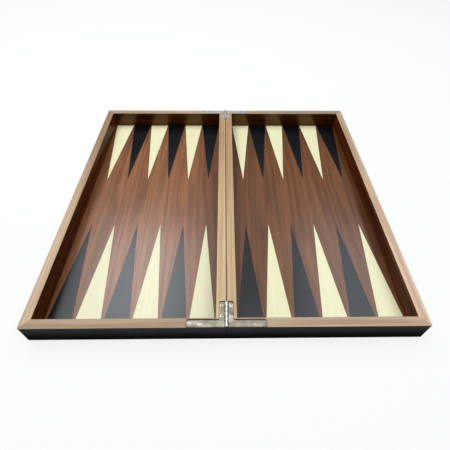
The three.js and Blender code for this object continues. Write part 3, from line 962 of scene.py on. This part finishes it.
for row in frame["record"]["subparts"]:
    name = row["node"]
    paint = NODE_PAINTS.get(name) or SLOT_PAINTS[row["material_slot"]]
    # The left front row keeps the plain level; the other pale points carry the painted light.
    if paint == pale_inlay and name.startswith(PLAIN_LEVEL_ROW):
        paint = plain_level_inlay
    nodes[name].data.materials.clear()
    nodes[name].data.materials.append(paint)

# %% [markdown]
# ## Starting a piece
#
# The hardware below is modelled the way a hand would do it. A piece starts as a primitive at its size and
# place, a block or a rod. Everything is deselected first, because an operator acts on all that is selected.
# Applying the transform puts the place into the mesh and leaves the object at the origin, as the CAD nodes
# are.

# %% Helpers: hold a piece, start a block or a rod
MM = 0.001


def hold(piece):
    bpy.ops.object.select_all(action="DESELECT")
    piece.select_set(True)
    bpy.context.view_layer.objects.active = piece


def settle(name):
    piece = bpy.context.object
    bpy.ops.object.transform_apply(location=True, rotation=True, scale=True)
    piece.name = name
    return piece


def block(name, corner, opposite):
    low = Vector(min(pair) for pair in zip(corner, opposite))
    high = Vector(max(pair) for pair in zip(corner, opposite))
    bpy.ops.object.select_all(action="DESELECT")
    bpy.ops.mesh.primitive_cube_add(size=1.0, location=(low + high) / 2, scale=high - low)
    return settle(name)


def rod(name, radius, start, end, sides):
    run = Vector(end) - Vector(start)
    turn = run.to_track_quat("Z", "Y").to_euler()
    middle = (Vector(start) + Vector(end)) / 2
    bpy.ops.object.select_all(action="DESELECT")
    bpy.ops.mesh.primitive_cylinder_add(
        vertices=sides, radius=radius, depth=run.length, location=middle, rotation=turn)
    return settle(name)


print("helpers for blocks and rods are ready")

# %% [markdown]
# ## Selecting without a mouse
#
# In edit mode a hand would click the faces or edges that the next operator should act on. Here each one is
# tested by its place or its normal instead, which also makes the choice easy to repeat on the next piece.
# Bevels are wanted most often, so picking edges and bevelling them is one helper.

# %% Helpers: edit mode and selection
def edit(piece, kind):
    hold(piece)
    bpy.ops.object.mode_set(mode="EDIT")
    bpy.ops.mesh.select_mode(type=kind)
    bpy.ops.mesh.select_all(action="DESELECT")


def pick(items, test):
    bpy.ops.mesh.select_all(action="DESELECT")
    shape = bpy.context.object.data
    mesh = bmesh.from_edit_mesh(shape)
    for item in getattr(mesh, items):
        if test(item):
            item.select_set(True)
    mesh.select_flush_mode()
    bmesh.update_edit_mesh(shape)


def bevel_where(test, radius, steps):
    pick("edges", test)
    bpy.ops.mesh.bevel(offset=radius, segments=steps, affect="EDGES")


def extrude(move):
    bpy.ops.mesh.extrude_region_move(TRANSFORM_OT_translate={"value": move})


def leave():
    bpy.ops.object.mode_set(mode="OBJECT")


print("helpers for edit mode are ready")

# %% [markdown]
# ## Questions to ask a face or an edge
#
# A few questions come back on every piece. Does this face point that way? Does this edge stand upright, lie
# at that height, or run round a flat face? Numbers in a computer are never quite equal, so each answer allows
# a hundredth of a millimetre.

# %% Helpers: tests for faces and edges
CLOSE = 0.01 * MM
POINTS_THAT_WAY = 0.9
LIES_FLAT = 0.99


def points_to(face, axis, sign):
    return sign * face.normal[axis] > POINTS_THAT_WAY


def middle_of(edge):
    return (edge.verts[0].co + edge.verts[1].co) / 2


def upright(edge):
    run = edge.verts[1].co - edge.verts[0].co
    return abs(run.x) < CLOSE and abs(run.y) < CLOSE


def at_height(edge, z):
    return all(abs(vert.co.z - z) < CLOSE for vert in edge.verts)


def on_rim_of_face(edge, axis):
    flat = [abs(face.normal[axis]) > LIES_FLAT for face in edge.link_faces]
    return any(flat) and not all(flat)


print("places count as equal within", CLOSE, "m")

# %% [markdown]
# ## Joining, cutting and smoothing
#
# A boolean modifier joins two shapes or cuts one with the other, and applying it makes the result real. The
# tool shape is removed afterwards. Smooth shading follows roundings and leaves sharp corners sharp. A closed
# shape has two faces at every edge, so counting the other edges tells whether a boolean went wrong.

# %% Helpers: booleans, shading and a test for holes
SMOOTH_UP_TO = radians(32.0)


def combine(piece, other, operation):
    hold(piece)
    step = piece.modifiers.new("combine", "BOOLEAN")
    step.operation = operation
    step.solver = "EXACT"
    step.object = other
    bpy.ops.object.modifier_apply(modifier=step.name)
    bpy.data.objects.remove(other)


def smooth(piece):
    hold(piece)
    bpy.ops.object.shade_smooth_by_angle(angle=SMOOTH_UP_TO)


def open_edges(piece):
    mesh = bmesh.new()
    mesh.from_mesh(piece.data)
    count = sum(len(edge.link_faces) != 2 for edge in mesh.edges)
    mesh.free()
    return count


print("edges stay sharp above", round(SMOOTH_UP_TO, 3), "radians")

# %% [markdown]
# ## Hinge leaves
#
# Each leaf is stamped from sheet: a short leg on the centre rail, a long arm on the end rail, rounded ends
# and a hollow inner corner. It starts as the block of the leg. A bisect marks where the arm leaves it, the
# face below the cut is extruded to the arm's length, and bevels round the corners and break the sharp upper
# edge. An outline drawn as a curve would do as well, but its corners would be harder to change.

# %% Sizes of a leaf
END_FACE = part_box("left_front_rail")[0].y
LEAF_THICKNESS = 1.6 * MM
LEAF_EDGE = 2.55 * MM
LEAF_ARRIS = 0.3 * MM
ARM_REACH = 49.0 * MM
ARM_WIDTH = 9.0 * MM
ARM_FRONT_RADIUS = 1.2 * MM
ARM_END_RADIUS = 3.0 * MM
LEG_REACH = 9.0 * MM
LEG_LENGTH = 33.5 * MM
LEG_END_RADIUS = 2.5 * MM
INNER_RADIUS = 1.2 * MM
HINGE_INSET = 0.8 * MM
HINGE_START = END_FACE + HINGE_INSET
ARM_INNER = HINGE_START + ARM_WIDTH
LEG_END = HINGE_START + LEG_LENGTH
ON_LEFT = -1
ON_RIGHT = 1
print("hinge from", round(HINGE_START, 4), "to", round(LEG_END, 4), "m along the fold")

# %% Stamp the plates
ROUND_STEPS = 8
ARRIS_STEPS = 2


def stamp_plate(name, side):
    near_corner = (side * LEAF_EDGE, HINGE_START, RIM_HEIGHT - LEAF_THICKNESS)
    far_corner = (side * LEG_REACH, LEG_END, RIM_HEIGHT)
    plate = block(name, near_corner, far_corner)
    edit(plate, "FACE")
    bpy.ops.mesh.select_all(action="SELECT")
    bpy.ops.mesh.bisect(plane_co=(0.0, ARM_INNER, 0.0), plane_no=(0.0, 1.0, 0.0))
    pick("faces", lambda f: points_to(f, X_AXIS, side) and f.calc_center_median().y < ARM_INNER)
    extrude((side * (ARM_REACH - LEG_REACH), 0.0, 0.0))
    bpy.ops.mesh.select_mode(type="EDGE")
    corners = [
        (ARM_REACH, HINGE_START, ARM_FRONT_RADIUS),
        (ARM_REACH, ARM_INNER, ARM_END_RADIUS),
        (LEG_REACH, ARM_INNER, INNER_RADIUS),
        (LEG_REACH, LEG_END, LEG_END_RADIUS),
    ]
    for x, y, radius in corners:
        corner = Vector((side * x, y))
        bevel_where(
            lambda e: upright(e) and (middle_of(e).xy - corner).length < CLOSE, radius, ROUND_STEPS)
    bevel_where(
        lambda e: at_height(e, RIM_HEIGHT) and on_rim_of_face(e, Z_AXIS), LEAF_ARRIS, ARRIS_STEPS)
    leave()
    return plate


left_leaf = stamp_plate("hinge_leaf_front_left", ON_LEFT)
right_leaf = stamp_plate("hinge_leaf_front_right", ON_RIGHT)
print("plates:", len(left_leaf.data.polygons), "and", len(right_leaf.data.polygons), "faces")

# %% [markdown]
# ## Knuckles
#
# The leaves curl round the pin in turn: three knuckles on one leaf and two on the other, with a hair of room
# between them. A knuckle is a short rod whose two rims are bevelled, so that each one catches its own line of
# light and the joints between them show as dark rings. A tab ties it to its plate. Boolean unions make one
# sheet of them, and a long rod cuts the bore.

# %% Roll the knuckles
AXIS_HEIGHT = frame["joints"][0]["pos_m"][2]
KNUCKLE_COUNT = 5
KNUCKLE_PITCH = LEG_LENGTH / KNUCKLE_COUNT
KNUCKLE_RADIUS = 2.2 * MM
KNUCKLE_GAP = 0.5 * MM
KNUCKLE_RIM = 0.4 * MM
KNUCKLE_SIDES = 48
TAB_TOP = RIM_HEIGHT - 0.4 * MM
TAB_BOTTOM = RIM_HEIGHT - 1.3 * MM
TAB_INNER = 1.4 * MM
TAB_OUTER = LEAF_EDGE + 0.8 * MM
TAB_INSET = 0.45 * MM
BORE_RADIUS = 1.2 * MM
ROD_SIDES = 32


def roll_knuckle(start, end):
    knuckle = rod(
        "knuckle", KNUCKLE_RADIUS, (0.0, start, AXIS_HEIGHT), (0.0, end, AXIS_HEIGHT), KNUCKLE_SIDES)
    edit(knuckle, "EDGE")
    bevel_where(lambda e: on_rim_of_face(e, Y_AXIS), KNUCKLE_RIM, ARRIS_STEPS)
    leave()
    return knuckle


def add_knuckles(leaf, side, first):
    for number in range(first, KNUCKLE_COUNT, 2):
        start = HINGE_START + number * KNUCKLE_PITCH + KNUCKLE_GAP / 2
        end = start + KNUCKLE_PITCH - KNUCKLE_GAP
        inner_corner = (side * TAB_INNER, start + TAB_INSET, TAB_BOTTOM)
        outer_corner = (side * TAB_OUTER, end - TAB_INSET, TAB_TOP)
        combine(leaf, block("tab", inner_corner, outer_corner), "UNION")
        combine(leaf, roll_knuckle(start, end), "UNION")
    bore_start = (0.0, HINGE_START - MM, AXIS_HEIGHT)
    bore_end = (0.0, LEG_END + MM, AXIS_HEIGHT)
    combine(leaf, rod("bore", BORE_RADIUS, bore_start, bore_end, ROD_SIDES), "DIFFERENCE")


add_knuckles(left_leaf, ON_LEFT, 0)
add_knuckles(right_leaf, ON_RIGHT, 1)
print("leaves with knuckles:", len(left_leaf.data.polygons), "and", len(right_leaf.data.polygons), "faces")
print("open edges:", open_edges(left_leaf), "and", open_edges(right_leaf))

# %% [markdown]
# ## Countersinks
#
# Four screws hold a leaf: two in the arm and two in the leg. Each hole is drilled through and then opened out
# with a cone, so that the screw's head sits just below the surface and leaves a thin dark ring around it. A
# rod for the ring, a cone and a drill could cut one after the other, but one tool that has all three steps
# leaves cleaner edges: its lower face is extruded and narrowed, and then extruded again.

# %% Drill and countersink
ARM_MIDDLE = HINGE_START + ARM_WIDTH / 2
LEG_MIDDLE = (LEAF_EDGE + LEG_REACH) / 2
ARM_SCREWS = (33.0 * MM, 45.0 * MM)
LEG_SCREWS = (15.5 * MM, 30.0 * MM)
SCREW_PLACES = [(reach, ARM_MIDDLE) for reach in ARM_SCREWS]
SCREW_PLACES += [(LEG_MIDDLE, END_FACE + reach) for reach in LEG_SCREWS]
HOLE_RADIUS = 1.4 * MM
HOLE_DEPTH = 3.0 * MM
SINK_RADIUS = 2.65 * MM
SINK_EDGE = 0.35 * MM
SINK_SIDES = 40


def make_sink(x, y):
    sink = rod("sink", SINK_RADIUS, (x, y, RIM_HEIGHT - SINK_EDGE), (x, y, RIM_HEIGHT + MM), SINK_SIDES)
    edit(sink, "FACE")
    pick("faces", lambda f: points_to(f, Z_AXIS, -1))
    share = HOLE_RADIUS / SINK_RADIUS
    extrude((0.0, 0.0, HOLE_RADIUS - SINK_RADIUS))
    bpy.ops.transform.resize(value=(share, share, 1.0), center_override=(x, y, RIM_HEIGHT))
    extrude((0.0, 0.0, -HOLE_DEPTH))
    leave()
    return sink


def drill(leaf, side):
    for x, y in SCREW_PLACES:
        combine(leaf, make_sink(side * x, y), "DIFFERENCE")
    smooth(leaf)


drill(left_leaf, ON_LEFT)
drill(right_leaf, ON_RIGHT)
print("drilled:", len(left_leaf.data.polygons), "and", len(right_leaf.data.polygons), "faces")
print("open edges:", open_edges(left_leaf), "and", open_edges(right_leaf))

# %% [markdown]
# ## Screws
#
# A countersunk wood screw is a shank with a pointed end and a conical head. It grows from one rod: the top
# face is extruded and widened into the head, the bottom face is extruded and narrowed into the point. Two
# crossed bars, narrower at their foot, cut the recess. The thread is hidden in the wood, so the shank stays
# plain.

# %% Make one screw
SHANK_RADIUS = 1.25 * MM
HEAD_RADIUS = 2.5 * MM
HEAD_FLARE = HEAD_RADIUS - SHANK_RADIUS
HEAD_EDGE = 0.25 * MM
HEAD_ARRIS = 0.12 * MM
HEAD_TOP = RIM_HEIGHT - 0.1 * MM
HEAD_FOOT = HEAD_TOP - HEAD_EDGE - HEAD_FLARE
SHANK_END = HEAD_TOP - 10.5 * MM
POINT_LENGTH = 2.5 * MM
POINT_SHARE = 0.08
RECESS_SPAN = 3.0 * MM
RECESS_WIDTH = 0.65 * MM
RECESS_DEPTH = 0.9 * MM
RECESS_TAPER = 0.5
ON_AXIS = (0.0, 0.0, 0.0)


def stretch_face(up, lift, share):
    pick("faces", lambda f: points_to(f, Z_AXIS, up))
    extrude((0.0, 0.0, lift))
    bpy.ops.transform.resize(value=(share, share, 1.0), center_override=ON_AXIS)


def recess_bar(span, width):
    low = (-span / 2, -width / 2, HEAD_TOP - RECESS_DEPTH)
    high = (span / 2, width / 2, HEAD_TOP + RECESS_DEPTH)
    bar = block("bar", low, high)
    edit(bar, "FACE")
    pick("faces", lambda f: points_to(f, Z_AXIS, -1))
    bpy.ops.transform.resize(value=(RECESS_TAPER, RECESS_TAPER, 1.0), center_override=ON_AXIS)
    leave()
    return bar


def make_screw():
    screw = rod("screw", SHANK_RADIUS, (0.0, 0.0, SHANK_END), (0.0, 0.0, HEAD_FOOT), ROD_SIDES)
    edit(screw, "FACE")
    stretch_face(1, HEAD_FLARE, HEAD_RADIUS / SHANK_RADIUS)
    stretch_face(1, HEAD_EDGE, 1.0)
    stretch_face(-1, -POINT_LENGTH, POINT_SHARE)
    bpy.ops.mesh.select_mode(type="EDGE")
    bevel_where(lambda e: at_height(e, HEAD_TOP), HEAD_ARRIS, ARRIS_STEPS)
    leave()
    for span, width in ((RECESS_SPAN, RECESS_WIDTH), (RECESS_WIDTH, RECESS_SPAN)):
        combine(screw, recess_bar(span, width), "DIFFERENCE")
    smooth(screw)
    return screw


screw = make_screw()
print("screw:", len(screw.data.polygons), "faces,", open_edges(screw), "open edges")

# %% [markdown]
# ## Pins
#
# The pin runs through all five knuckles and is held by friction. Its ends are domed, which shows at the end
# face of the board. A sphere at either end would need joining. Bevelling the two end rims in a few steps
# gives the same dome from the rod itself.

# %% Make one pin
PIN_RADIUS = 1.1 * MM
PIN_DOME = 0.55 * MM
DOME_STEPS = 4

pin_start = (0.0, HINGE_START + KNUCKLE_GAP / 2, AXIS_HEIGHT)
pin_end = (0.0, LEG_END - KNUCKLE_GAP / 2, AXIS_HEIGHT)
pin = rod("hinge_pin_front", PIN_RADIUS, pin_start, pin_end, ROD_SIDES)
edit(pin, "EDGE")
bevel_where(lambda e: on_rim_of_face(e, Y_AXIS), PIN_DOME, DOME_STEPS)
leave()
smooth(pin)
print("pin:", len(pin.data.polygons), "faces,", open_edges(pin), "open edges")

# %% [markdown]
# ## Attaching a piece
#
# A finished piece gets its finish and is hung on the body that carries it, and the CAD node it stands for is
# hidden. When the board folds, it then rides with its tray. Copies get a mesh of their own, because two pieces
# that share one could not be turned apart.

# %% Helpers: copy, turn and attach
HALF_TURN = pi
BOARD_MIDDLE = (0.0, 0.0, 0.0)


def copy_of(piece, name):
    hold(piece)
    bpy.ops.object.duplicate(linked=False)
    bpy.context.object.name = name
    return bpy.context.object


def turn_about(centre, angle):
    bpy.ops.transform.rotate(value=angle, orient_axis="Z", center_override=centre)


def turned_copy(piece, name):
    copy = copy_of(piece, name)
    turn_about(BOARD_MIDDLE, HALF_TURN)
    return settle(copy.name)


def attach(piece, body, node, paint):
    piece.data.materials.clear()
    piece.data.materials.append(paint)
    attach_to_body(piece, body)
    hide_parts(node)


print("helpers to copy, turn and attach are ready")

# %% [markdown]
# ## Fitting both hinges
#
# The back hinge is the front hinge turned half round about the middle of the board, so what was the left leaf
# lies on the right tray there. Screws seldom stop at the same turn, so the eight screws of a hinge are turned
# by eight different angles. Setting each by hand would do too, but a steady step from one to the next is
# shorter and looks no more regular.

# %% Fit leaves, pins and screws
SCREW_TURN = 37.0
SIDE_TURN = 20.0
PLATING = {"front": front_nickel, "back": back_nickel}


def fit_leaf(leaf, end, side_name):
    attach(leaf, side_name + "_tray", f"{end}_hinge_{side_name}_leaf", PLATING[end])


def fit_screws(end, side_name, side):
    for number, (x, y) in enumerate(SCREW_PLACES, start=1):
        fixing = copy_of(screw, f"hinge_screw_{end}_{side_name}_{number}")
        place = (side * x, y, 0.0)
        bpy.ops.transform.translate(value=place)
        turn_about(place, radians(SCREW_TURN * number + SIDE_TURN * side))
        if end == "back":
            turn_about(BOARD_MIDDLE, HALF_TURN)
        settle(fixing.name)
        node = f"{end}_hinge_{side_name}_screw_{number}"
        attach(fixing, side_name + "_tray", node, screw_nickel)


back_right_leaf = turned_copy(left_leaf, "hinge_leaf_back_right")
back_left_leaf = turned_copy(right_leaf, "hinge_leaf_back_left")
back_pin = turned_copy(pin, "hinge_pin_back")
fit_leaf(left_leaf, "front", "left")
fit_leaf(right_leaf, "front", "right")
fit_leaf(back_right_leaf, "back", "right")
fit_leaf(back_left_leaf, "back", "left")
attach(pin, "left_tray", "front_hinge_pin", front_nickel)
attach(back_pin, "right_tray", "back_hinge_pin", back_nickel)
fit_screws("front", "left", ON_LEFT)
fit_screws("front", "right", ON_RIGHT)
fit_screws("back", "right", ON_LEFT)
fit_screws("back", "left", ON_RIGHT)
bpy.data.objects.remove(screw)

# %% [markdown]
# ## Blocks with rounded corners
#
# Base and band share the tray's outline: rounded at the outer corners and only broken at the fold, where the
# two trays meet. When the board lies open, they touch there. The CAD model keeps some room at the fold, which
# would let the white table shine through as a line, so these two pieces reach to a hair from the fold.

# %% Helpers: outline of a tray
CORNER_RADIUS = 2.0 * MM
SPINE_ARRIS = 0.6 * MM
SPINE_STEPS = 3
HAIR = 0.01 * MM


def on_spine(edge):
    return abs(middle_of(edge).x) < MM


def box_to_the_fold(side_name, part):
    low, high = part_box(f"{side_name}_{part}")
    if side_name == "left":
        high.x = -HAIR
    else:
        low.x = HAIR
    return low, high


def rounded_block(name, low, high):
    shape = block(name, low, high)
    edit(shape, "EDGE")
    bevel_where(lambda e: upright(e) and not on_spine(e), CORNER_RADIUS, ROUND_STEPS)
    bevel_where(lambda e: upright(e) and on_spine(e), SPINE_ARRIS, SPINE_STEPS)
    leave()
    return shape


print("gap at the fold:", 2 * HAIR, "m")

# %% [markdown]
# ## Base boards
#
# Under each tray lies a base board whose lower edges are rounded over with a router. The base starts as a
# block, its lower edges get a wide bevel, and the overlap with a rounded block gives the corners. The second
# block is a hair larger, because a boolean can go wrong where two faces lie in one plane. Vertices that came
# out double are merged, and a fine chamfer leaves a shadow line where band and base meet.

# %% Shape a base
ROUTER_RADIUS = 4.0 * MM
SHADOW_CHAMFER = 0.2 * MM
MERGE_WITHIN = HAIR / 5


def shape_base(side_name):
    low, high = box_to_the_fold(side_name, "base_panel")
    base = block(side_name + "_base", low, high)
    edit(base, "EDGE")
    bevel_where(lambda e: at_height(e, low.z) and not on_spine(e), ROUTER_RADIUS, ROUND_STEPS)
    bevel_where(lambda e: at_height(e, low.z) and on_spine(e), SPINE_ARRIS, SPINE_STEPS)
    leave()
    margin = Vector((HAIR, HAIR, MM))
    combine(base, rounded_block("corners", low - margin, high + margin), "INTERSECT")
    edit(base, "EDGE")
    bpy.ops.mesh.select_all(action="SELECT")
    bpy.ops.mesh.remove_doubles(threshold=MERGE_WITHIN)
    bevel_where(
        lambda e: at_height(e, high.z) and on_rim_of_face(e, Z_AXIS), SHADOW_CHAMFER, ARRIS_STEPS)
    leave()
    smooth(base)
    return base


print("router radius:", ROUTER_RADIUS, "m")

# %% [markdown]
# ## Bands
#
# A thin black band runs round the walls of a tray. It is a rounded block with fine chamfers, hollowed out
# by a smaller one. At both ends of the fold it makes way for the hinge: a rod cuts the groove of the barrel,
# and a block opens the mortise of the leaf at the end face. Strips bent round the corners would be truer to
# the workshop, but the block has no seams to close.

# %% Shape a band
BAND_THICKNESS = 1.0 * MM
GROOVE_SLIT = 1.3 * MM
MORTISE_GAP = 0.25 * MM
MORTISE_FLOOR = RIM_HEIGHT - LEAF_THICKNESS - 0.1 * MM
NEAR_END = -1
FAR_END = 1


def cut_for_hinge(band, end):
    outside = end * (abs(END_FACE) + MM)
    groove_start = (0.0, outside, AXIS_HEIGHT)
    groove_end = (0.0, end * (abs(LEG_END) - GROOVE_SLIT), AXIS_HEIGHT)
    combine(band, rod("groove", LEAF_EDGE, groove_start, groove_end, KNUCKLE_SIDES), "DIFFERENCE")
    reach = ARM_REACH + MORTISE_GAP
    corner = (-reach, outside, MORTISE_FLOOR)
    opposite = (reach, end * (abs(END_FACE) - ARM_WIDTH), RIM_HEIGHT + MM)
    combine(band, block("mortise", corner, opposite), "DIFFERENCE")


def shape_band(side_name):
    low, high = box_to_the_fold(side_name, "edge_band")
    band = rounded_block(side_name + "_band", low, high)
    edit(band, "EDGE")
    bevel_where(lambda e: on_rim_of_face(e, Z_AXIS), SHADOW_CHAMFER, ARRIS_STEPS)
    leave()
    inset = Vector((BAND_THICKNESS, BAND_THICKNESS, -MM))
    combine(band, block("hollow", low + inset, high - inset), "DIFFERENCE")
    cut_for_hinge(band, NEAR_END)
    cut_for_hinge(band, FAR_END)
    smooth(band)
    return band


for side_name in ("left", "right"):
    body = side_name + "_tray"
    base = shape_base(side_name)
    band = shape_band(side_name)
    attach(base, body, side_name + "_base_panel", sprayed_black)
    attach(band, body, side_name + "_edge_band", sprayed_black)
    print(side_name, "base and band, open edges:", open_edges(base), "and", open_edges(band))
